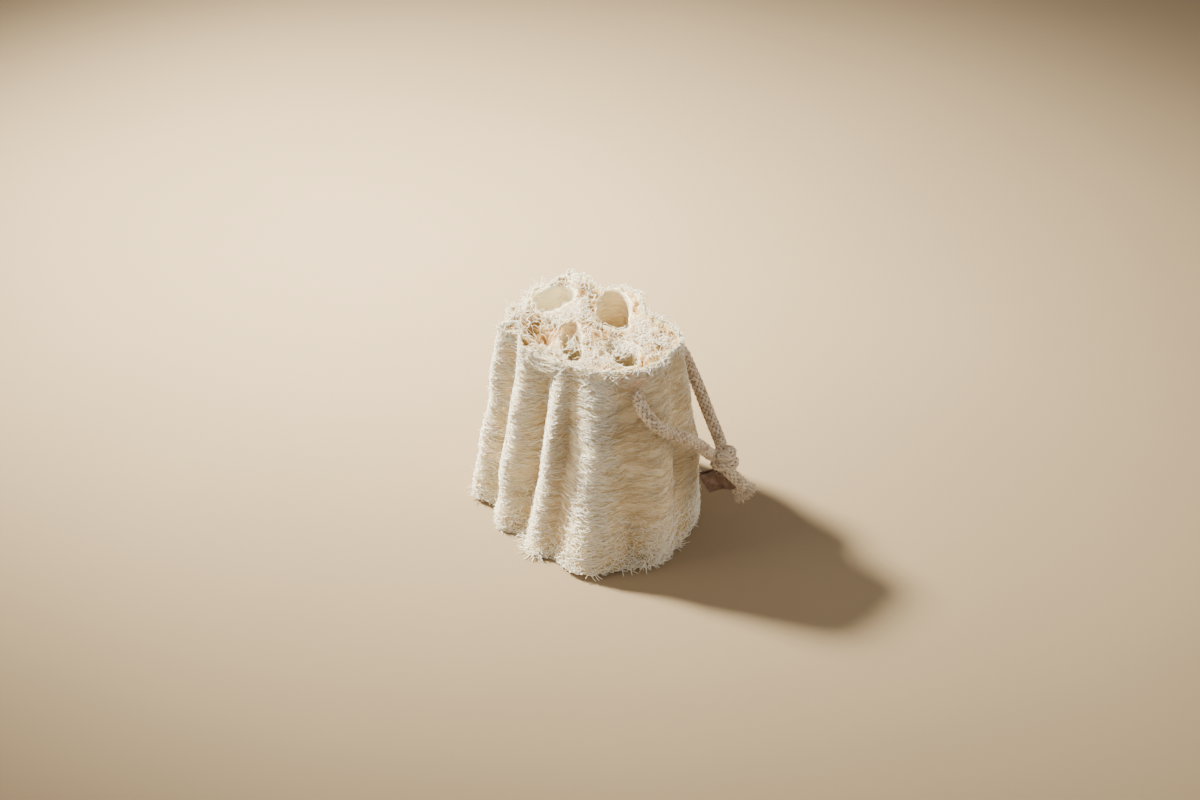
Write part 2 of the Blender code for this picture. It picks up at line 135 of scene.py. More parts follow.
def piece(name, points_mm, faces, material, values=None):
    """A smooth object from arrays of faces, each array with its own number of corners. values are numbers
    given to the points, by name, for the material to read."""
    mesh = bpy.data.meshes.new(name)
    mesh.vertices.add(len(points_mm))
    mesh.vertices.foreach_set("co", (np.asarray(points_mm) * 0.001).astype(np.float32).ravel())
    faces = [f for f in faces if len(f)]
    corners = np.concatenate([f.ravel() for f in faces])
    sizes = np.concatenate([np.full(len(f), f.shape[1]) for f in faces])
    mesh.loops.add(len(corners))
    mesh.loops.foreach_set("vertex_index", corners.astype(np.int32))
    mesh.polygons.add(len(sizes))
    mesh.polygons.foreach_set("loop_start", (np.cumsum(sizes) - sizes).astype(np.int32))
    mesh.update(calc_edges=True)
    mesh.shade_smooth()
    for label, numbers in (values or {}).items():
        mesh.attributes.new(label, "FLOAT", "POINT").data.foreach_set("value", numbers.astype(np.float32))
    mesh.materials.append(material)
    obj = bpy.data.objects.new(name, mesh)
    bpy.context.scene.collection.objects.link(obj)
    return obj


def new_material(name, roughness):
    """A material with its node tree and shader, ready for the nodes that make its pattern."""
    made = bpy.data.materials.new(name)
    made.use_nodes = True
    shader = made.node_tree.nodes["Principled BSDF"]
    shader.inputs["Roughness"].default_value = roughness
    return made, made.node_tree, shader


def noise(tree, scale, detail, stretch_by=(1, 1, 1)):
    """Noise on the object's own coordinates, in cells per metre times scale, stretched along the axes."""
    place = tree.nodes.new("ShaderNodeTexCoord")
    mapping = tree.nodes.new("ShaderNodeMapping")
    mapping.inputs["Scale"].default_value = stretch_by
    texture = tree.nodes.new("ShaderNodeTexNoise")
    texture.inputs["Scale"].default_value = scale
    texture.inputs["Detail"].default_value = detail
    tree.links.new(place.outputs["Object"], mapping.inputs["Vector"])
    tree.links.new(mapping.outputs["Vector"], texture.inputs["Vector"])
    return texture.outputs["Fac"]


def ramp(tree, value, stops):
    """A colour ramp: stops are pairs of position and linear colour."""
    node = tree.nodes.new("ShaderNodeValToRGB")
    while len(node.color_ramp.elements) < len(stops):
        node.color_ramp.elements.new(0.5)
    for element, (position, colour) in zip(node.color_ramp.elements, stops):
        element.position = position
        element.color = (*colour, 1.0)
    tree.links.new(value, node.inputs["Fac"])
    return node.outputs["Color"]


def bump(tree, shader, height, distance, strength=1.0):
    node = tree.nodes.new("ShaderNodeBump")
    node.inputs["Distance"].default_value = distance
    node.inputs["Strength"].default_value = strength
    tree.links.new(height, node.inputs["Height"])
    tree.links.new(node.outputs["Normal"], shader.inputs["Normal"])


def attribute(tree, name):
    node = tree.nodes.new("ShaderNodeAttribute")
    node.attribute_name = name
    return node.outputs["Fac"]


def combine(tree, operation, first, second):
    """Two values, or a value and a number, put together by one arithmetic step."""
    node = tree.nodes.new("ShaderNodeMath")
    node.operation = operation
    for socket, value in zip(node.inputs, (first, second)):
        if isinstance(value, (int, float)):
            socket.default_value = value
        else:
            tree.links.new(value, socket)
    return node.outputs["Value"]


cotton, tree, shader = new_material("cotton_cord", 0.92)
COTTON_COLOURS = (
    (0.25, (0.24, 0.17, 0.105)),
    (0.55, (0.45, 0.345, 0.24)),
    (1.0, (0.69, 0.575, 0.425)),
)
flecks = combine(tree, "ADD", combine(tree, "MULTIPLY", noise(tree, 2400, 2), 0.6), attribute(tree, "tone"))
tree.links.new(ramp(tree, flecks, COTTON_COLOURS), shader.inputs["Base Color"])
shader.inputs["Specular IOR Level"].default_value = 0.15
bump(tree, shader, noise(tree, 2600, 2), 0.00025)


def braid(line, seed):
    """Points and faces of a braid round a line, with a tone for each yarn.

    Yarn k of one hand lies at the angle 2 pi (s + k) / n and yarn k of the other at 2 pi (k - s) / n, where s
    counts n steps in one turn. One hand's radius follows the cosine of 2 pi s, and the other's its negative,
    so that every yarn passes over and under in turn."""
    rng = np.random.default_rng(seed)
    length = along(line)[-1]
    steps = int(length / BRAID_PITCH * BRAID_HAND * 6)
    at = np.linspace(0, length, steps)
    centre = stretch(line, 0, length, steps)
    tangent = unit(np.gradient(centre, axis=0))
    side = unit(np.cross(tangent, (0.75, 0.1, 0.65)))
    other = np.cross(tangent, side)
    s = at * BRAID_HAND / BRAID_PITCH
    wave = 0.30 * np.cos(2 * math.pi * s)
    middle = CORD / 2 - YARN_THICKNESS / 2 - 0.12
    lines, tones = [], []
    for hand in (1, -1):
        for k in range(BRAID_HAND):
            turn = 2 * math.pi * (hand * s + k) / BRAID_HAND
            out = np.cos(turn)[:, None] * side + np.sin(turn)[:, None] * other
            uneven = 0.07 * np.sin(at * 1.9 + k * 2.1 + hand)
            lines.append((centre + (middle + hand * wave + uneven)[:, None] * out, out))
            tones.append(np.clip(rng.uniform(0.3, 0.8) + 0.15 * np.sin(at * rng.uniform(0.7, 1.6) + k), 0, 1))
    path = np.array([l for l, _ in lines])
    outward = np.array([o for _, o in lines])
    width = np.full(path.shape[:2], YARN_WIDTH / 2)
    points, quads, ends = tubes(path, width, 6, YARN_THICKNESS / YARN_WIDTH, outward)
    tone = np.repeat(np.array(tones).ravel(), 6)
    # The core under the yarns gets tone 0, the darkest cotton colour: painted shade in the gaps between the
    # yarns.
    core = centre[None, ::5]
    core_points, core_quads, core_ends = tubes(core, np.full(core.shape[:2], 1.75), 10)
    shift = len(points)
    parts = [quads, ends, core_quads + shift, core_ends + shift]
    return np.vstack([points, core_points]), parts, np.concatenate([tone, np.zeros(len(core_points))])


def fuzz(line, reach, count, seed):
    """Short cotton hairs that stand off the cord: each leaves its side at a slant and curls."""
    rng = np.random.default_rng(seed)
    base = stretch(line, 0, along(line)[-1], 200)[rng.integers(4, 196, count)]
    way = unit(rng.normal(size=(count, 3)))
    bend = unit(rng.normal(size=(count, 3)))
    t = np.linspace(0, 1, 5)[None, :, None]
    size = rng.uniform(0.5, 1.3, (count, 1, 1))
    lines = base[:, None] + way[:, None] * (CORD / 2 - 0.4 + reach * size * t) + bend[:, None] * reach * t**2
    radius = rng.uniform(0.05, 0.10, (count, 1)) * np.array([1, 1, 0.9, 0.8, 0.4])
    return tubes(lines, radius, 3)


def joined(*parts):
    """Several sets of points and faces as one, with a tone of 1 for those that have none."""
    points, faces, tones, shift = [], [], [], 0
    for part in parts:
        groups = part[1] if isinstance(part[1], list) else [part[1], part[2]]
        tones.append(part[2] if isinstance(part[1], list) else np.ones(len(part[0])))
        points.append(part[0])
        faces += [f + shift for f in groups]
        shift += len(part[0])
    return np.vstack(points), faces, np.concatenate(tones)


knot_down = unit(np.array(KNOT_DOWN))
knot_front = np.array(KNOT_FRONT)
knot_front = unit(knot_front - knot_down * (knot_front @ knot_down))
knot_right = np.cross(knot_front, knot_down)
knot_middle = np.array(KNOT)
rear = (knot_middle - 0.8 * knot_front - 0.5 * knot_down, knot_middle - 2.2 * knot_front + 4.0 * knot_down,
        *REAR_TAIL)
fore = (knot_middle - 1.5 * knot_right - 1.6 * knot_down, knot_middle + 0.8 * knot_front + 2.0 * knot_down,
        *FRONT_TAIL)
route = (*fore[::-1], *FRONT_ROUTE[::-1], *INNER_ROUTE[1:-1], *BACK_ROUTE, *rear)
cord_line = smooth_line(route, CURVE_STEPS * (len(route) - 1) + 1)
lengths = along(cord_line)[::CURVE_STEPS]
front_knot = lengths[len(fore)] + KNOT_REACH
front_hole = lengths[len(fore) + len(FRONT_ROUTE) - 1]
back_hole = lengths[-len(rear) - len(BACK_ROUTE)]
back_knot = lengths[-len(rear) - 1] - KNOT_REACH
front_line = stretch(cord_line, front_knot + CORD_GAP / 2, front_hole - CORD_GAP / 2, 80)[::-1]
back_line = stretch(cord_line, back_hole + CORD_GAP / 2, back_knot - CORD_GAP / 2, 80)
inner_line = stretch(cord_line, front_hole + CORD_GAP / 2, back_hole - CORD_GAP / 2, 60)

strands = {}
for name, node, line, seed, loose_hairs in (
    ("front_strand", "cord_front_strand", front_line, 31, 420),
    ("back_strand", "cord_back_strand", back_line, 32, 420),
    ("inner_strand", "cord_through_sponge", inner_line, 33, 80),
):
    points, faces, tone = joined(braid(line, seed), fuzz(line, 0.9, loose_hairs, seed + 10))
    strands[name] = piece(name, points, faces, cotton, {"tone": tone})
    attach(strands[name], "root")
    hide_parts(node)

# Knot
# One overhand knot in both strands: the cord winds round the middle and both ends come out below it as short
# tails. The tails were cut and have frayed, so their yarns spread.
WIND_RADIUS = 3.65
WIND_PITCH = 4.4
WIND_FROM = 60
WIND_TO = 555
WIND_SINK = 60
WIND_HEIGHT = -1.8
degrees = np.linspace(WIND_FROM, WIND_TO, 120)
to_end = np.minimum(degrees - WIND_FROM, WIND_TO - degrees) / WIND_SINK
wind_radius = WIND_RADIUS * np.clip(0.5 + 0.5 * to_end, 0.5, 1)
turn = np.radians(degrees)
height = WIND_HEIGHT + WIND_PITCH * (degrees - 90) / 360
in_knot = np.stack([-wind_radius * np.cos(turn), wind_radius * np.sin(turn), height], axis=1)
winding = knot_middle + in_knot @ np.array([knot_right, knot_front, knot_down])
fore_line = stretch(cord_line, 0, front_knot - CORD_GAP / 2, 80)
rear_line = stretch(cord_line, back_knot + CORD_GAP / 2, lengths[-1], 80)


def frayed_end(tip, way, seed):
    """Yarn ends that fan out from a cut end: each starts inside the cord and bends away from its middle."""
    rng = np.random.default_rng(seed)
    count = 170
    side = unit(np.cross(way, (0.1, 0.9, 0.2)))
    other = np.cross(way, side)
    angle = rng.uniform(0, 2 * math.pi, count)
    off = 2.3 * np.sqrt(rng.uniform(0, 1, count))
    out = np.cos(angle)[:, None] * side + np.sin(angle)[:, None] * other
    t = np.linspace(0, 1, 7)[None, :, None]
    long = rng.uniform(2.6, 6.0, (count, 1, 1))
    flare = rng.uniform(0.3, 2.4, (count, 1, 1))
    stray = rng.normal(size=(count, 1, 3)) * 0.7
    lines = (tip - 1.2 * way) + (off[:, None] * out)[:, None] + way * long * t + out[:, None] * flare * t**2
    lines = lines + stray * t**2
    radius = rng.uniform(0.16, 0.3, (count, 1)) * np.array([1, 1, 1, 0.9, 0.8, 0.6, 0.3])
    points, quads, ends = tubes(lines, radius, 4)
    tone = np.repeat(rng.uniform(0.3, 1.0, count), 7 * 4)
    return points, [quads, ends], tone


front_way = unit(fore_line[0] - fore_line[4])
rear_way = unit(rear_line[-1] - rear_line[-5])
points, faces, tone = joined(
    braid(winding, 41), braid(fore_line, 42), braid(rear_line, 43),
    fuzz(winding, 1.1, 300, 44), fuzz(fore_line[:50], 1.1, 160, 45), fuzz(rear_line[30:], 1.1, 160, 46),
    frayed_end(fore_line[0], front_way, 47), frayed_end(rear_line[-1], rear_way, 48))
knot = piece("knot_and_tails", points, faces, cotton, {"tone": tone})
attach(knot, "root")
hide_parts("cord_knot")

# Tag
# A blank strip of worn brown leather, folded round the rear tail below the knot, with its rough side inside
# the fold. Its cut edges are rounded.
TAG_WIDTH = 10.0
TAG_LEAF = 11.4
TAG_DROP = 2.0
TAG_LEAF_WAY = (-0.87, 0.11, -0.44)
TAG_THICK = 0.9
TAG_MOUTH = 1.3
LEATHER_COLOURS = (
    (0.35, (0.10, 0.06, 0.042)),
    (0.52, (0.20, 0.127, 0.09)),
    (0.68, (0.34, 0.23, 0.175)),
)
leather, tree, shader = new_material("tag_leather", 0.62)
pores = noise(tree, 1400, 6)
worn = noise(tree, 240, 3)
tint = combine(tree, "ADD", combine(tree, "MULTIPLY", pores, 0.4), combine(tree, "MULTIPLY", worn, 0.6))
tree.links.new(ramp(tree, tint, LEATHER_COLOURS), shader.inputs["Base Color"])
bump(tree, shader, pores, 0.0003)
start, end = np.array(REAR_TAIL)
way = unit(end - start)
leaf = unit(np.array(TAG_LEAF_WAY))
face = unit(np.cross(way, leaf))
inner = CORD / 2 + 0.45
fold_turn = np.linspace(-1.0, 1.0, 41) * math.radians(115)
profile = []
for radius, mouth in ((inner + TAG_THICK, TAG_MOUTH / 2 + TAG_THICK), (inner, TAG_MOUTH / 2)):
    leaf_at = np.linspace(TAG_LEAF, 1.6 * inner, 12)[:, None]
    lower = np.hstack([leaf_at, np.full_like(leaf_at, -mouth)])
    fold = np.column_stack([-radius * np.cos(fold_turn), radius * np.sin(fold_turn)])
    profile.append(np.vstack([lower, fold, lower[::-1] * (1, -1)]))
skin = profile[0]
middle_skin = (profile[0] + profile[1]) / 2
outline = np.vstack([profile[0], profile[1][::-1]])
middle = np.vstack([middle_skin, middle_skin[::-1]])
rows = []
for at, pulled in ((0.0, 0.5), (0.12, 0.15), (0.35, 0.0), (3.3, 0.0), (6.7, 0.0), (9.65, 0.0), (9.88, 0.15),
                   (TAG_WIDTH, 0.5)):
    ring = outline * (1 - pulled) + middle * pulled
    rows.append(start + way * (TAG_DROP + at) + ring[:, :1] * leaf + ring[:, 1:] * face)
total = len(outline)
index = np.arange(len(rows) * total).reshape(len(rows), total)
after = np.roll(index, -1, axis=1)
quads = np.stack([index[:-1], after[:-1], after[1:], index[1:]], axis=-1).reshape(-1, 4)
count = len(skin)
k = np.arange(count - 1)
near_end = np.stack([k, total - 1 - k, total - 2 - k, k + 1], axis=1)
far_end = (near_end + (len(rows) - 1) * total)[:, ::-1]
tag = piece("leather_tag_folded", np.vstack(rows), [quads, near_end, far_end], leather)
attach(tag, "root")
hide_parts("leather_tag")

# Sponge: the felted body under the loose fibres
# The dried fibre net of a ridge gourd, cut square at both ends, with ten ridges, four seed chambers and a
# core. Between the ridges and inside the chambers its surface is smooth tan felt of fine level threads.
# The felt's tone holds painted light and shade: lighter on the crests, darker in the folds, in the pits of
# the cut ends and towards the foot, and a painted glow in the back-left chamber.
HEIGHT = 100.0
COLUMNS = 310
ROWS = 88
INSET = 0.8
SHIFT = (-0.214, 0.171, 0.0)
CRESTS = (
    (-92, -84, 50.5, 35.5),
    (-65, -60, 43.5, 29.5),
    (-34, -18, 43.0, 28.5),
    (-1, 13, 49.8, 34.2),
    (38, 54, 52.8, 39.6),
    (80, 74, 52.0, 42.0),
    (130, 142, 50.0, 33.0),
    (170, 190, 50.0, 35.5),
    (208, 222, 49.0, 34.0),
    (240, 251, 49.0, 34.0),
)
GROOVES = (
    (-82, -73, 40.5, 28.5),
    (-49, -36, 34.5, 22.0),
    (-20, -10, 41.0, 29.5),
    (25, 27, 48.0, 37.0),
    (58, 64, 50.0, 40.4),
    (105, 106, 44.0, 26.0),
    (150, 163, 43.0, 26.5),
    (190, 207, 43.0, 32.0),
    (225, 238, 42.0, 29.5),
    (253, 262, 42.0, 30.5),
)
CREST_SWELL = 1.2
GROOVE_PINCH = 3.0
RIM_WAVE = 1.2
FOOT_LIFT = 2.2
CHAMBERS = (
    (12.3, 12.0, 6.8, 11.4, 0.0, 3.5),
    (16.2, -17.0, 5.9, 10.6, 14.0, 2.6),
    (-4.9, -9.0, 4.2, 11.6, 6.0, 2.4),
    (-13.2, 20.4, 5.3, 9.4, -57.0, 3.0),
)
DENT = (-16.0, -3.0, 4.5, 7.5, 4.0)
# Felt tones of the four chambers. The back-left chamber's high tone is a painted glow, standing for light
# that comes through the thin outer wall beside it.
CHAMBER_TONES_AND_GLOW = (0.35, 0.35, 0.35, 1.2)
CHAMBER_SHIFT = 1.15
CHAMBER_FLARE = 1.35
CHAMBER_SIDES = 56
CHAMBER_ROWS = 50
CAP_SPACING = 1.35
FOOT_SPACING = 2.4


def wall(column, share):
    """Points on the outer wall. column counts crests and grooves in turn, share is the height from 0 to 1.

    Between a crest and a groove the radius follows a curve that is flat at the crest and steeper at the
    groove, so the ridges are round and the folds between them narrow."""
    table = np.array([row for pair in zip(CRESTS, GROOVES) for row in pair], float)
    count = len(table)
    k = np.floor(column).astype(int)
    s = column - k
    here, after = k % count, (k + 1) % count
    lap = (k - here) // count * 360.0
    lap_after = (k + 1 - after) // count * 360.0
    on_groove = here % 2 == 1
    s_crest = np.where(on_groove, 1 - s, s)
    fold = 0.45 * s_crest**2 * (3 - 2 * s_crest) + 0.55 * s_crest**2 * (2 - s_crest)
    blend = np.where(on_groove, 1 - fold, fold)

    def radius(j):
        taper = np.where(table[j, 0] > 0, share**1.5, share**1.1)
        middle = np.sin(math.pi * share)
        pinch = np.where(j % 2 == 1, -GROOVE_PINCH, 0.4) * middle
        swell = CREST_SWELL * (np.sin(2 * math.pi * (1.3 * share + 0.37 * j)) * 0.6
                               + np.sin(2 * math.pi * (2.9 * share + 0.61 * j)) * 0.4)
        at_foot, at_rim = table[j, 2], table[j, 3]
        return at_foot + (at_rim - at_foot) * taper + pinch + swell * np.minimum(1, 4 * (1 - share))

    def angle(j):
        return table[j, 0] + (table[j, 1] - table[j, 0]) * share

    turn = np.radians((angle(here) + lap) * (1 - s) + (angle(after) + lap_after) * s)
    r = radius(here) * (1 - blend) + radius(after) * blend
    lift = FOOT_LIFT * np.clip(np.sin(turn * 3 + 0.6) + np.sin(turn * 5 + 2.0), 0, 1.2) / 1.2
    z = HEIGHT * share + lift * (1 - share)**10 + RIM_WAVE * np.sin(turn * 4 + 1.0) * share**10
    return np.stack([r * np.sin(turn), -r * np.cos(turn), z], axis=-1) + SHIFT


def wall_normal(column, share):
    """The way out of the wall, from small steps along it."""
    step = 0.02
    inner_share = np.clip(share, step, 1 - step)
    across = wall(column + step, inner_share) - wall(column - step, inner_share)
    up = wall(column, inner_share + step) - wall(column, inner_share - step)
    return unit(np.cross(across, up))


def pressed_flat(column, share):
    """How flat the wall has been pressed, from 0 to 1: wholly on the broad face at the front right, away from
    its foot and its rim, and not at all on the other ridges."""
    column = column % 20
    face = np.clip((column - 6.3) / 0.8, 0, 1) * np.clip((11.4 - column) / 0.8, 0, 1)
    return face * np.clip((share - 0.13) / 0.15, 0, 1) * np.clip((0.98 - share) / 0.06, 0, 1)


def grain(points, size, seed):
    """Smooth noise from -1 to 1: random values on a lattice of that size in mm, blended between them."""
    values = np.random.default_rng(seed).uniform(-1, 1, (32, 32, 32))
    at = points / size
    cell = np.floor(at).astype(int)
    s = at - cell
    s = s * s * (3 - 2 * s)
    total = 0
    for corner in np.ndindex(2, 2, 2):
        weight = np.prod(np.where(np.array(corner) == 1, s, 1 - s), axis=-1)
        i, j, k = [(cell[..., a] + corner[a]) % 32 for a in range(3)]
        total = total + weight * values[i, j, k]
    return total


def chamber_ring(shape, share, sides=CHAMBER_SIDES):
    """A ring round one chamber at this height: an ellipse with squared corners, wider towards the foot."""
    middle_x, middle_y, half_width, half_length, turn, squareness = shape
    at = np.linspace(0, 2 * math.pi, sides, endpoint=False)
    grow = CHAMBER_FLARE + (1 - CHAMBER_FLARE) * share
    shift = CHAMBER_SHIFT + (1 - CHAMBER_SHIFT) * share
    power = 2 / squareness
    x = half_width * grow * np.sign(np.cos(at)) * np.abs(np.cos(at))**power
    y = half_length * grow * np.sign(np.sin(at)) * np.abs(np.sin(at))**power
    c, s = math.cos(math.radians(turn)), math.sin(math.radians(turn))
    place = np.stack([middle_x * shift + x * c - y * s, middle_y * shift + x * s + y * c], axis=1)
    return place + SHIFT[:2]


def cap_height(x, y):
    """The rim end: a little dished, with a dent over a chamber that stays closed, a proud core, and a proud
    rib from the core to the back between two chambers."""
    x, y = x - SHIFT[0], y - SHIFT[1]
    out = np.hypot(x, y)
    middle_x, middle_y, half_width, half_length, depth = DENT
    dent = depth * np.exp(-((x - middle_x) / half_width)**2 - ((y - middle_y) / half_length)**2)
    along_rib = np.clip((y - 1) / 5, 0, 1) * np.clip((33 - y) / 4, 0, 1)
    rib = 1.6 * np.exp(-((x + (y - 3) / 9) / 3.2)**2) * along_rib
    core = 1.2 * np.exp(-((x - 4) / 6)**2 - ((y + 12) / 9)**2)
    return HEIGHT - 3.0 * np.exp(-((out - 17.0) / 8.0)**2) + 0.8 * np.exp(-(out / 7.0)**2) - dent + rib + core


def inside(points, ring):
    """Whether each point lies inside a closed ring: a line from it to the right crosses the ring an odd
    number of times."""
    x, y = points[:, 0][:, None], points[:, 1][:, None]
    a, b = ring, np.roll(ring, -1, axis=0)
    crosses = (a[:, 1] > y) != (b[:, 1] > y)
    rise = np.where(b[:, 1] == a[:, 1], 1e-12, b[:, 1] - a[:, 1])
    at = a[:, 0] + (y - a[:, 1]) * (b[:, 0] - a[:, 0]) / rise
    return (crosses & (x < at)).sum(axis=1) % 2 == 1


def near_ring(points, ring):
    ends = np.roll(ring, -1, axis=0) - ring
    rel = points[:, None, :] - ring[None]
    s = np.clip((rel * ends).sum(-1) / (ends**2).sum(-1), 0, 1)
    return np.linalg.norm(rel - s[..., None] * ends, axis=-1).min(axis=1)


def cap(outer, holes, spacing, at_rim, rng):
    """Inner points, triangles and tones of a cut end, between its outer ring and the chambers' rings. The
    points lie on an uneven triangular lattice, at the cut end's height, with the felt's lumps and pits."""
    reach = int(60 / spacing)
    i, j = [g.ravel() for g in np.meshgrid(np.arange(-reach, reach), np.arange(-reach, reach))]
    lattice = np.column_stack([spacing * (i + 0.5 * j), spacing * 0.866 * j])
    lattice += rng.uniform(-0.2, 0.2, lattice.shape) * spacing
    keep = inside(lattice, outer) & (near_ring(lattice, outer) > 0.5 * spacing)
    for hole in holes:
        keep &= ~inside(lattice, hole) & (near_ring(lattice, hole) > 0.5 * spacing)
    lattice = lattice[keep]
    flat = np.vstack([outer, *holes, lattice])
    edges, first = [], 0
    for ring in (outer, *holes):
        k = first + np.arange(len(ring))
        edges += np.column_stack([k, first + (k - first + 1) % len(ring)]).tolist()
        first += len(ring)
    _, _, triangles, origin, _, _ = delaunay_2d_cdt([Vector(p) for p in flat], edges, [], 0, 1e-6)
    source = np.array([group[0] for group in origin])
    triangles = source[np.array(triangles)]
    middle = flat[triangles].mean(axis=1)
    keep = inside(middle, outer)
    for hole in holes:
        keep &= ~inside(middle, hole)
    triangles = triangles[keep]
    a, b, c = (flat[triangles[:, k]] for k in range(3))
    turned = (b[:, 0] - a[:, 0]) * (c[:, 1] - a[:, 1]) < (b[:, 1] - a[:, 1]) * (c[:, 0] - a[:, 0])
    triangles[turned] = triangles[turned][:, ::-1]
    place = np.column_stack([lattice, np.zeros(len(lattice))])
    lumps = grain(place, 2.6, 61) + 0.6 * grain(place, 1.5, 62)
    if at_rim:
        height = cap_height(*lattice.T) - 1.6 * INSET + np.where(lumps < 0, 2.4, 0.7) * lumps
        # The rim's felt tone is dark, and darkest in the pits: painted shade between the fibres.
        return np.column_stack([lattice, height]), triangles, 0.9 * lumps - 1.4
    rests = (np.cos(np.arctan2(lattice[:, 0], -lattice[:, 1]) * 5) > 0.1) & (np.hypot(*lattice.T) > 34)
    height = np.where(rests, 0.15, 1.0 + 0.7 * lumps)
    # The foot's felt tone is dark too, and darkest in the pits: painted shade.
    return np.column_stack([lattice, height]), triangles[:, ::-1], 0.5 * lumps - 0.6


# The felt's colours from dark golden tan to cream. Its darkest stops serve the painted shade of the folds and
# of the pits in the cut ends.
FELT_AND_SHADE_COLOURS = (
    (0.05, (0.36, 0.21, 0.07)),
    (0.3, (0.58, 0.41, 0.18)),
    (0.5, (0.73, 0.57, 0.33)),
    (0.8, (0.95, 0.86, 0.63)),
)
felt, tree, shader = new_material("loofah_felt", 0.85)
threads = noise(tree, 800, 4, (0.35, 0.35, 2.6))
patches = noise(tree, 70, 3)
tint = combine(tree, "MULTIPLY", threads, 0.75)
tint = combine(tree, "ADD", tint, combine(tree, "MULTIPLY", patches, 0.25))
tint = combine(tree, "ADD", tint, combine(tree, "MULTIPLY", attribute(tree, "tone"), 0.3))
tree.links.new(ramp(tree, tint, FELT_AND_SHADE_COLOURS), shader.inputs["Base Color"])
shader.inputs["Specular IOR Level"].default_value = 0.2
shader.inputs["Subsurface Weight"].default_value = 0.3
shader.inputs["Subsurface Scale"].default_value = 0.005
shader.inputs["Subsurface Radius"].default_value = (1.0, 0.6, 0.3)
bump(tree, shader, threads, 0.0008)

table_steps = np.linspace(0, 20, 801)
spread = along(wall(table_steps, np.full(len(table_steps), 0.5)))
perimeter = spread[-1]
even = np.interp(np.arange(COLUMNS) * perimeter / COLUMNS, spread, table_steps)
column, share = np.meshgrid(even, np.linspace(0, 1, ROWS))
outer = wall(column, share)
lumps = 0.35 * grain(outer * (1, 1, 1.6), 3.0, 51) + 0.25 * grain(outer * (0.6, 0.6, 2.0), 1.7, 52)
lumps = lumps * (1 - 0.6 * pressed_flat(column, share))
near_foot = np.clip(1 - share / 0.22, 0, 1)
lumps = lumps + near_foot * (0.7 * grain(outer, 2.4, 56) - 0.4)
inward = wall_normal(column, share) * (lumps - INSET)[..., None]
inward[0, :, 2] = 0
inward[-1, :, 2] = 0
outer = outer + inward
outer[-3:, :, 2] += 0.8 * grain(outer[-1:] * (1, 1, 0), 3.5, 58) * np.array([[0.2], [0.6], [1.0]])
outer[..., 2] = np.maximum(outer[..., 2], 0.05)
points, quads, starts = [outer.reshape(-1, 3)], [], [0]
# Painted light and shade in the felt's tone: lighter on the crests, darker in the folds between the ridges
# and towards the foot, where it stands for the shade in the pits of the net. On the pressed face the crests'
# lightening is left out and the felt is a little lighter.
crest_painted_light = (0.5 + 0.5 * np.cos(math.pi * column)) * (1 - pressed_flat(column, share))
wall_light_and_shade = 0.8 * crest_painted_light + 0.1 + 0.35 * pressed_flat(column, share) - 0.9 * near_foot
tones = [wall_light_and_shade.ravel()]
index = np.arange(outer.shape[0] * COLUMNS).reshape(-1, COLUMNS)
after = np.roll(index, -1, axis=1)
quads.append(np.stack([index[:-1], after[:-1], after[1:], index[1:]], axis=-1).reshape(-1, 4))
chamber_rows = []
for number, shape in enumerate(CHAMBERS):
    shares = np.linspace(0, 1, CHAMBER_ROWS)
    rings = []
    for share_here in shares:
        ring = chamber_ring(shape, share_here)
        rings.append(np.column_stack([ring, (cap_height(*ring.T) - 0.6) * share_here]))
    rings = np.array(rings)
    centre = rings.mean(axis=1, keepdims=True)
    out = unit((rings - centre) * (1, 1, 0))
    lumps = 0.35 * grain(rings, 3.5, 53) + 0.2 * grain(rings * (0.5, 0.5, 2.0), 1.8, 54)
    lumps = lumps + (1.5 * grain(rings, 3.6, 57) + 0.6) * np.clip((shares - 0.88) / 0.12, 0, 1)[:, None]
    rings = rings + out * lumps[..., None]
    first = sum(len(p) for p in points)
    index = first + np.arange(CHAMBER_ROWS * CHAMBER_SIDES).reshape(CHAMBER_ROWS, CHAMBER_SIDES)
    after = np.roll(index, -1, axis=1)
    quads.append(np.stack([index[:-1], index[1:], after[1:], after[:-1]], axis=-1).reshape(-1, 4))
    points.append(rings.reshape(-1, 3))
    tones.append(np.full(rings.size // 3, CHAMBER_TONES_AND_GLOW[number]))
    starts.append(first)
    chamber_rows.append(rings)
triangles = []
for at_rim, spacing in ((True, CAP_SPACING), (False, FOOT_SPACING)):
    row = -1 if at_rim else 0
    rings = [outer[row], *[c[row] for c in chamber_rows]]
    new_points, faces, tone = cap(rings[0][:, :2], [r[:, :2] for r in rings[1:]], spacing, at_rim,
                                  np.random.default_rng(55))
    index = [(ROWS - 1) * COLUMNS * at_rim + np.arange(COLUMNS)]
    for first in starts[1:]:
        index.append(first + (CHAMBER_ROWS - 1) * CHAMBER_SIDES * at_rim + np.arange(CHAMBER_SIDES))
    index.append(sum(len(p) for p in points) + np.arange(len(new_points)))
    triangles.append(np.concatenate(index)[faces])
    points.append(new_points)
    tones.append(tone)
body = piece("sponge_body", np.vstack(points), [*quads, *triangles], felt, {"tone": np.concatenate(tones)})
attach(body, "root")
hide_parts("loofah_sponge")

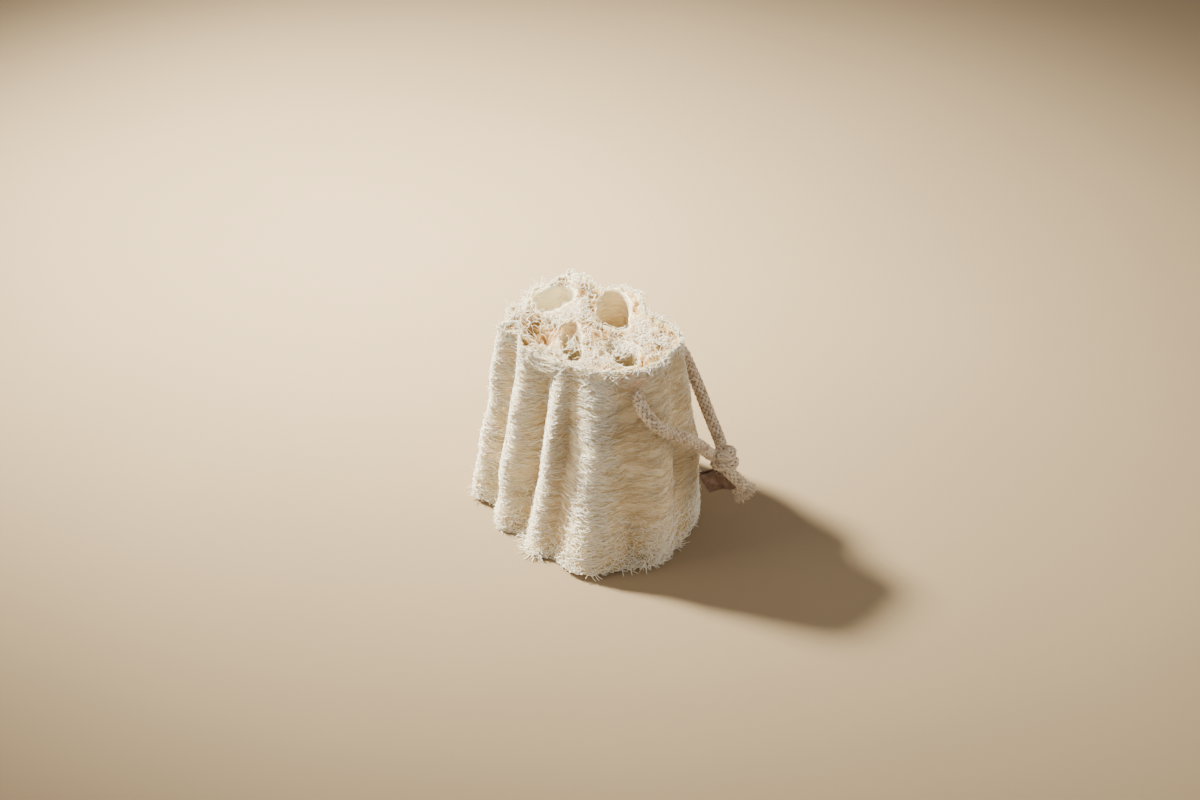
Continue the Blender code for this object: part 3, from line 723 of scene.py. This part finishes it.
# Sponge: the loose fibres of the outer wall
# Stiff curled fibres about 0.3 mm thick, tan to cream white, laid mostly level round the ridges. They weave
# in and out of the felt every few millimetres, and some have a free end that stands off. The wall fibres'
# tan is painted shade in the deeper layers, the folds and on the pressed face; on the crests they are
# painted lighter.
# Fibre colours from tan to cream white; the tan end serves the painted shade of the deeper and shaded fibres.
FIBRE_AND_SHADE_COLOURS = (
    (0.15, (0.62, 0.45, 0.23)),
    (0.5, (0.87, 0.74, 0.47)),
    (0.9, (0.99, 0.93, 0.76)),
)
fibre, tree, shader = new_material("loofah_fibre", 0.6)
tint = combine(tree, "ADD", attribute(tree, "tone"), combine(tree, "MULTIPLY", noise(tree, 500, 2), 0.3))
tree.links.new(ramp(tree, tint, FIBRE_AND_SHADE_COLOURS), shader.inputs["Base Color"])
shader.inputs["Specular IOR Level"].default_value = 0.3
shader.inputs["Subsurface Weight"].default_value = 0.35
shader.inputs["Subsurface Scale"].default_value = 0.001
shader.inputs["Subsurface Radius"].default_value = (1.0, 0.75, 0.45)
bump(tree, shader, noise(tree, 3000, 2), 0.0001)


def on_wall(place, up):
    """Points over the wall from their place on it, length round it and height, and their distance out."""
    laps = np.floor(place[..., 0] / perimeter)
    column = np.interp(place[..., 0] - laps * perimeter, spread, table_steps) + 20 * laps
    share = np.clip(place[..., 1] / HEIGHT, 0.004, 0.998)
    points = wall(column, share) + wall_normal(column, share) * up[..., None]
    points[..., 2] = np.maximum(points[..., 2], 0.3)
    return points


def skin_fibres(count, seed, long, thick, rise, weave, waves, free, light, points_each):
    """Fibres on the outer wall, and their tones. Each starts at a random place and runs mostly level round
    the sponge, sways up and down, and rises and sinks by so many waves of a cosine along its length. A few
    have a free end. On the face that is pressed flat they are thinner and lie flatter. light is the tone that
    they have in a fold, lower for the deeper layers: painted shade. Their tone is also painted lighter on the
    crests and darker on the pressed face, which lies in shade."""
    rng = np.random.default_rng(seed)
    share = 1 - rng.beta(1.0, 1.25, count)
    share = np.where(rng.uniform(size=count) < 0.5, share, rng.uniform(0, 1, count))
    arc = rng.uniform(0, perimeter, count)
    column = np.interp(arc, spread, table_steps)
    crest = 0.5 + 0.5 * np.cos(math.pi * column)
    flat = pressed_flat(column, share)
    chance = (0.3 + 0.7 * crest) * (1 - 0.4 * flat) + 0.25 * flat
    keep = rng.uniform(size=count) < chance * np.clip(0.35 + share / 0.3, 0, 1)
    share, arc, crest, flat = share[keep], arc[keep], crest[keep], flat[keep][:, None]
    n = len(arc)
    length = rng.uniform(*long, (n, 1))
    here = np.column_stack([arc, share * HEIGHT, np.zeros(n)])
    tilt = 0.25 * grain(here, 16.0, 71) + 0.18 * grain(here, 6.0, 72) + rng.normal(0, 0.25, n)
    edge = np.maximum(np.clip(1 - share / 0.22, 0, 1), np.clip((share - 0.86) / 0.14, 0, 1))
    tilt = (tilt + rng.uniform(-1.3, 1.3, n) * edge)[:, None]
    t = np.linspace(-0.5, 0.5, points_each)[None]
    at = length * t
    swing = rng.uniform(0.15, 0.6, (n, 1))
    sway = swing * np.sin(at * 2 * math.pi / rng.uniform(5, 10, (n, 1)) + here[:, :1])
    scale = 0.72 + 0.5 * (1 - share[:, None])
    across = (at * np.cos(tilt) - sway * np.sin(tilt)) / scale
    rising = at * np.sin(tilt) + sway * np.cos(tilt)
    place = here[:, None, :2] + np.stack([across, rising], axis=-1)
    phase = 0.0 if waves < 1 else rng.uniform(0, 6, (n, 1))
    up = rise + rng.uniform(-0.15, 0.2, (n, 1)) + weave * np.cos(2 * math.pi * waves * t + phase)
    loose = (rng.uniform(size=(n, 1)) < free) * rng.uniform(0.5, 1.0, (n, 1))
    end = np.clip((t - 0.2) / 0.3, 0, 1)
    up = up + loose * end**2 * 1.8 - (1 - np.minimum(1, loose * 3)) * end**2 * 0.5
    up = up - np.clip((-t - 0.3) / 0.2, 0, 1)**2 * 0.5
    calm = np.maximum(0.55 * (1 - crest[:, None]), 0.6 * flat)
    up = up * (1 - calm) - 0.3 * calm
    radius = rng.uniform(*thick, (n, 1)) / 2 * np.minimum(1, 0.45 + 6 * (0.5 - np.abs(t))) * (1 - 0.35 * flat)
    # Painted light and shade: lighter on the crests, darker on the pressed face, and darker for the deeper
    # layers.
    tone = np.clip(light + 0.35 * crest - 0.55 * flat[:, 0] + rng.uniform(-0.3, 0.3, n), 0, 1)
    points, quads, ends = tubes(on_wall(place, up), radius, 3)
    return points, [quads, ends], np.repeat(tone, points_each * 3)


for name, count, seed, long, thick, rise, weave, waves, free, light, points_each in (
    ("fibres_inner", 4100, 81, (9, 14), (0.28, 0.42), -0.55, 0.30, 1.9, 0.0, 0.05, 8),
    ("fibres_middle", 4050, 82, (7, 11), (0.24, 0.36), -0.22, 0.50, 1.6, 0.1, 0.4, 9),
    ("fibres_outer", 7400, 83, (4.5, 8.5), (0.24, 0.34), -0.12, 0.50, 0.7, 0.12, 0.75, 7),
):
    points, faces, tone = skin_fibres(count, seed, long, thick, rise, weave, waves, free, light, points_each)
    layer = piece(name, points, faces, fibre, {"tone": tone})
    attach(layer, "root")

# Sponge: the fibre net of the cut ends and of the chambers' mouths
# Curled white fibres in every direction with small pits between them. They reach a little over the edges of
# the rim and of the chambers, where the knife has freed them.
CURL_POINTS = 10
MOUTH_BANDS = (
    (-10.5, -10.0, 0.0, -11.0, 1.0, 22),
    (13.0, -4.0, 19.0, -17.0, 1.6, 70),
)
COIL_MIDDLE = (-29.8, -4.0, 99.4)
COIL_TILT = (0.0, 0.86, 0.5)
COIL_RADIUS = (3.2, 4.6)


def curls(start, rng):
    """Curled lines in a plane from their start points, 6 to 10 mm long: the heading turns steadily and sways.
    With them comes the length along each line."""
    count = len(start)
    heading = rng.uniform(0, 2 * math.pi, (count, 1))
    t = np.arange(CURL_POINTS)[None] * rng.uniform(0.67, 1.15, (count, 1))
    angle = heading + rng.normal(0, 0.25, (count, 1)) * t + 0.5 * np.sin(t * 1.1 + heading * 3)
    step = np.stack([np.cos(angle), np.sin(angle)], axis=-1) * np.diff(t, axis=1, prepend=0)[..., None]
    return start[:, None] + np.cumsum(step, axis=1), t


def curl_tubes(lines, rng, tone_from, thick=(0.22, 0.34)):
    """Tapered tubes for curled lines, each with its own thickness and tone."""
    n = len(lines)
    at = np.arange(CURL_POINTS)
    taper = np.minimum(1, 0.4 + 0.4 * np.minimum(at, CURL_POINTS - 1 - at))
    radius = rng.uniform(*thick, (n, 1)) / 2 * taper
    points, quads, ends = tubes(lines, radius, 3)
    return points, [quads, ends], np.repeat(rng.uniform(tone_from, 1.0, n), CURL_POINTS * 3)


def cap_fibres(count, seed, at_rim, over_edge):
    """Fibres on a cut end: each curls in the plane of the cut and weaves up and down. They come in clumps,
    and those that reach further over an edge than the given distance are left out."""
    rng = np.random.default_rng(seed)
    reach = 44 if at_rim else 54
    start = rng.uniform(-reach, reach, (count, 2))
    flat, t = curls(start, rng)
    ring = outer[-1 if at_rim else 0][:, :2]
    holes = [c[-1 if at_rim else 0][:, :2] for c in chamber_rows]
    every = flat.reshape(-1, 2)
    ok = inside(every, ring) | (near_ring(every, ring) < over_edge)
    for hole in holes:
        ok &= ~inside(every, hole) | (near_ring(every, hole) < over_edge)
    ok = ok.reshape(count, -1).all(axis=1)
    clump = grain(np.column_stack([start, np.zeros(count)]), 5.0, seed + 50)
    dent = np.hypot((start[:, 0] - DENT[0]) / DENT[2], (start[:, 1] - DENT[1]) / DENT[3]) < 1
    ok &= (clump + rng.uniform(-0.5, 0.5, count) > -0.15) & ~(dent & at_rim & (clump < 0.5))
    flat, t = flat[ok], t[ok]
    n = len(flat)
    weave = 0.85 * np.sin(t * rng.uniform(0.9, 1.5, (n, 1)) + rng.uniform(0, 6, (n, 1)))
    weave = weave + rng.uniform(-0.5, 0.3, (n, 1)) + 1.0 * np.maximum(0, clump[ok])[:, None] * at_rim
    z = cap_height(flat[..., 0], flat[..., 1]) + weave if at_rim else np.maximum(0.75 - 0.45 * weave, 0.3)
    return curl_tubes(np.concatenate([flat, z[..., None]], axis=-1), rng, 0.45)


def bridges(seed):
    """Fibres that cross a chamber's mouth in a loose band: curls that start near a line from side to side."""
    rng = np.random.default_rng(seed)
    bands = []
    for from_x, from_y, to_x, to_y, half_width, count in MOUTH_BANDS:
        t = rng.uniform(0, 1, (count, 1))
        start = np.array((from_x, from_y)) + t * np.array((to_x - from_x, to_y - from_y))
        bands.append(start + rng.normal(0, half_width / 2, (count, 2)))
    start = np.vstack(bands)
    flat, t = curls(start, rng)
    z = cap_height(flat[..., 0], flat[..., 1]) - 1.2 + 0.8 * np.sin(t * 1.2 + start[:, :1])
    return curl_tubes(np.concatenate([flat, z[..., None]], axis=-1), rng, 0.5)


def wall_net(count, seed, share_from, share_to):
    """A net of curled fibres on the wall, densest at the first height given and gone at the second."""
    rng = np.random.default_rng(seed)
    share = share_from + (share_to - share_from) * rng.uniform(0, 1, count)**1.7
    start = np.column_stack([rng.uniform(0, perimeter, count), share * HEIGHT])
    place, t = curls(start, rng)
    place[..., 0] = start[:, :1] + (place[..., 0] - start[:, :1]) / 1.1
    up = rng.uniform(-0.5, 0.1, (count, 1)) + 0.6 * np.sin(t * 1.2 + rng.uniform(0, 6, (count, 1)))
    return curl_tubes(on_wall(place, up), rng, 0.4)


def lip(count, seed):
    """A thin sheet of level fibres across the mouth of the deep groove between the second and third ridges.
    It sags, and folds over the edge of the cut end to hang a few millimetres down in front."""
    rng = np.random.default_rng(seed)
    over = rng.uniform(-1, 1, count)
    back, down = np.clip(-over, 0, 1), np.clip(over, 0, 1)
    first = wall(2.25 + 0.55 * back + rng.uniform(-0.05, 0.1, count), 0.997 - 0.05 * down)
    last = wall(3.85 - 0.55 * back + rng.uniform(-0.1, 0.05, count), 0.997 - 0.05 * down)
    t = np.linspace(0, 1, CURL_POINTS)[None, :, None]
    lines = first[:, None] * (1 - t) + last[:, None] * t
    sag = 0.8 + 1.4 * down + rng.uniform(-0.2, 0.4, count)
    lines[..., 2] -= (sag[:, None, None] * 4 * t * (1 - t))[..., 0]
    lines = lines + 0.45 * np.sin(t * rng.uniform(5, 14, (count, 1, 1)) + rng.uniform(0, 6, (count, 1, 3)))
    # The lip's fibres get low tones, painted shade on the sagging sheet.
    return curl_tubes(lines, rng, -0.3, (0.16, 0.28))


def coil(count, seed):
    """A loose coil of fibres on the top of the first ridge, tipped a little forward. Each fibre follows the
    circle p = c + r (cos a, sin a) for about half a turn, and wanders off it."""
    rng = np.random.default_rng(seed)
    across, back = np.array((1.0, 0.0, 0.0)), unit(np.array(COIL_TILT))
    t = np.linspace(0, 1, CURL_POINTS)[None, :]
    a = rng.uniform(0, 2 * math.pi, (count, 1)) + rng.uniform(2.0, 3.4, (count, 1)) * t
    r = rng.uniform(*COIL_RADIUS, (count, 1)) + 0.25 * np.sin(a * 3 + rng.uniform(0, 6, (count, 1)))
    x, y = r * np.cos(a), r * np.sin(a)
    lines = np.array(COIL_MIDDLE) + x[..., None] * across + y[..., None] * back
    lines[..., 2] += rng.uniform(-0.8, 0.6, (count, 1)) + 0.3 * np.sin(a * 2)
    return curl_tubes(lines, rng, 0.5)


def mouth_fibres(count, seed):
    """Short fibres round each chamber's mouth, which lean over its edge with their free ends."""
    rng = np.random.default_rng(seed)
    lines = []
    for rings in chamber_rows:
        place = rng.integers(0, CHAMBER_SIDES, count)
        edge, centre = rings[-2][place], rings[-2].mean(axis=0)
        inward = unit((centre - edge) * (1, 1, 0))
        level = np.cross(inward, (0, 0, 1.0))
        t = np.linspace(0, 1, CURL_POINTS)[None, :, None]
        reach = rng.uniform(-0.3, 1.8, (count, 1, 1))
        side = rng.normal(0, 1.6, (count, 1, 1))
        line = edge[:, None] + inward[:, None] * (reach * np.sin(2.2 * t) - 0.8)
        line = line + level[:, None] * side * (t - 0.4)
        lift = rng.uniform(0.3, 1.3, (count, 1))
        line[..., 2] += lift + rng.uniform(-1.8, 0.6, (count, 1)) * t[..., 0]**2
        lines.append(line)
    return curl_tubes(np.concatenate(lines), rng, 0.4)


def chamber_fibres(count, seed):
    """Fine fibres that lie almost level on the chambers' walls."""
    rng = np.random.default_rng(seed)
    lines = []
    for rings in chamber_rows:
        row = (1 - rng.beta(1.0, 1.6, (count, 1))) * (CHAMBER_ROWS - 2)
        t = np.arange(CURL_POINTS)[None] * 1.2
        side = rng.uniform(0, CHAMBER_SIDES, (count, 1)) + t * rng.uniform(0.3, 0.8, (count, 1))
        row = row + 0.5 * np.sin(t * 0.6 + side) + t * rng.normal(0, 0.08, (count, 1))
        row = np.clip(row, 0, CHAMBER_ROWS - 2)
        i, j = row.astype(int), side.astype(int)
        r, s = (row - i)[..., None], (side - j)[..., None]
        j, after = j % CHAMBER_SIDES, (j + 1) % CHAMBER_SIDES
        here = (rings[i, j] * (1 - s) + rings[i, after] * s) * (1 - r)
        here = here + (rings[i + 1, j] * (1 - s) + rings[i + 1, after] * s) * r
        centre = rings.mean(axis=1)[i]
        off = rng.uniform(-0.05, 0.2, (count, CURL_POINTS, 1))
        lines.append(here + unit((centre - here) * (1, 1, 0)) * off)
    return curl_tubes(np.concatenate(lines), rng, 0.1)


def fringe(count, seed, share, up_from, up_to, out_from, out_to):
    """Short fibres with one end in the wall at about this height. They lean out, up or down, and curl, and
    in tufts they reach further."""
    rng = np.random.default_rng(seed)
    arc = rng.uniform(0, perimeter, count)
    column = np.interp(arc, spread, table_steps)
    share_at = np.clip(share + rng.uniform(-0.02, 0.02, count), 0.003, 0.999)
    foot = wall(column, share_at)
    out = wall_normal(column, share_at)
    level = unit(np.cross(out, (0, 0, 1.0)))
    t = np.linspace(0, 1, 7)[None, :, None]
    rise = rng.uniform(up_from, up_to, (count, 1, 1))
    tuft = np.maximum(0, grain(np.column_stack([arc, 40 * share_at, 0 * arc]), 5.0, seed + 50))
    away = rng.uniform(out_from, out_to, (count, 1, 1)) * (0.6 + 1.6 * tuft[:, None, None])
    side = rng.normal(0, 2.0, (count, 1, 1))
    hook = rng.normal(0, 1.0, (count, 1, 1))
    lines = foot[:, None] - out[:, None] * 0.9 + out[:, None] * away * t
    lines = lines + level[:, None] * (side * t + hook * t**2)
    lines = lines + np.array((0, 0, 1.0)) * (rise * t + 0.6 * hook * np.sin(3 * t))
    lines[..., 2] = np.maximum(lines[..., 2], 0.25)
    radius = rng.uniform(0.13, 0.21, (count, 1)) * np.array([1, 1, 1, 0.95, 0.85, 0.7, 0.4])
    points, quads, ends = tubes(lines, radius, 3)
    return points, [quads, ends], np.repeat(rng.uniform(0.4, 1.0, count), 7 * 3)


rim_fringe = fringe(1000, 92, 0.99, -1.5, 2.4, 0.3, 2.4)
foot_fringe = fringe(1400, 94, 0.02, -2.2, 1.8, 0.5, 3.8)
for name, parts in (
    ("fibres_rim", (cap_fibres(4700, 91, True, 0.7),)),
    ("fibres_mouths", (bridges(96), lip(220, 97), coil(60, 103), mouth_fibres(90, 100), rim_fringe)),
    ("fibres_foot", (cap_fibres(1250, 93, False, 0.8), foot_fringe)),
    ("fibres_low", (wall_net(1950, 98, 0.0, 0.26),)),
    ("fibres_chambers", (chamber_fibres(130, 99),)),
):
    points, faces, tone = joined(*parts)
    layer = piece(name, points, faces, fibre, {"tone": tone})
    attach(layer, "root")

# Sponge: stray hairs
# Thin single hairs that stand off the ridges and the edges all round.


def hairs(count, seed):
    """Thin curled hairs, each with one end in the wall: more on the crests than in the grooves."""
    rng = np.random.default_rng(seed)
    arc = rng.uniform(0, perimeter, count)
    column = np.interp(arc, spread, table_steps)
    keep = rng.uniform(size=count) < 0.15 + 0.85 * (0.5 + 0.5 * np.cos(math.pi * column))
    column = column[keep]
    n = len(column)
    share = rng.uniform(0.02, 0.99, n)
    foot, out = wall(column, share), wall_normal(column, share)
    level = unit(np.cross(out, (0, 0, 1.0)))
    t = np.linspace(0, 1, 6)[None, :, None]
    away = rng.uniform(0.6, 3.2, (n, 1, 1))
    side = rng.normal(0, 2.2, (n, 1, 1))
    up = rng.normal(0, 1.2, (n, 1, 1))
    lines = foot[:, None] + out[:, None] * (away * (1.2 * t - 0.4 * t**2) - 0.5) + level[:, None] * side * t
    lines = lines + np.array((0, 0, 1.0)) * up * t**2
    lines[..., 2] = np.maximum(lines[..., 2], 0.2)
    radius = rng.uniform(0.07, 0.13, (n, 1)) * np.array([1, 1, 0.95, 0.85, 0.7, 0.4])
    points, quads, ends = tubes(lines, radius, 3)
    return points, [quads, ends], np.repeat(rng.uniform(0.6, 1.0, n), 6 * 3)


points, faces, tone = hairs(1900, 95)
layer = piece("fibres_stray", points, faces, fibre, {"tone": tone})
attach(layer, "root")

# Floor
# Plain beige paper under the sponge, without an edge in view.
paper, tree, shader = new_material("paper_floor", 0.9)
colour = ramp(tree, noise(tree, 6, 2), ((0.3, (0.240, 0.180, 0.110)), (0.7, (0.252, 0.189, 0.116))))
tree.links.new(colour, shader.inputs["Base Color"])
shader.inputs["Specular IOR Level"].default_value = 0.1
floor = piece("floor", [(-4000, -4000, -0.2), (4000, -4000, -0.2), (4000, 4000, -0.2), (-4000, 4000, -0.2)],
              [np.array([[0, 1, 2, 3]])], paper)

# Light
# One soft lamp to the left and a little behind, high up, whose pool of light fades towards the corners, a
# weaker light low down at the left, a pale card low down at the right, and warm light from the room all
# round.


def soft_lamp(name, place, aim, size, energy, colour, spread):
    lamp = bpy.data.lights.new(name, "AREA")
    lamp.shape = "DISK"
    lamp.size = size
    lamp.energy = energy
    lamp.color = colour
    lamp.spread = math.radians(spread)
    made = bpy.data.objects.new(name, lamp)
    made.location = place
    made.rotation_mode = "QUATERNION"
    made.rotation_quaternion = (Vector(aim) - Vector(place)).to_track_quat("-Z", "Y")
    bpy.context.scene.collection.objects.link(made)


soft_lamp("key", (-0.93, 0.48, 1.07), (-0.075, 0.20, 0.0), 0.2, 10.0, (0.97, 0.92, 0.775), 33)
soft_lamp("card", (1.4, -0.2, 0.3), (0.0, 0.0, 0.05), 0.7, 3.2, (1.0, 0.88, 0.74), 120)
soft_lamp("window", (-1.5, -0.25, 0.55), (-0.02, 0.0, 0.05), 0.7, 3.6, (1.0, 0.90, 0.72), 90)
room = bpy.data.worlds.new("room")
room.use_nodes = True
room.node_tree.nodes["Background"].inputs["Color"].default_value = (1.0, 0.93, 0.87, 1.0)
room.node_tree.nodes["Background"].inputs["Strength"].default_value = 0.66
bpy.context.scene.world = room
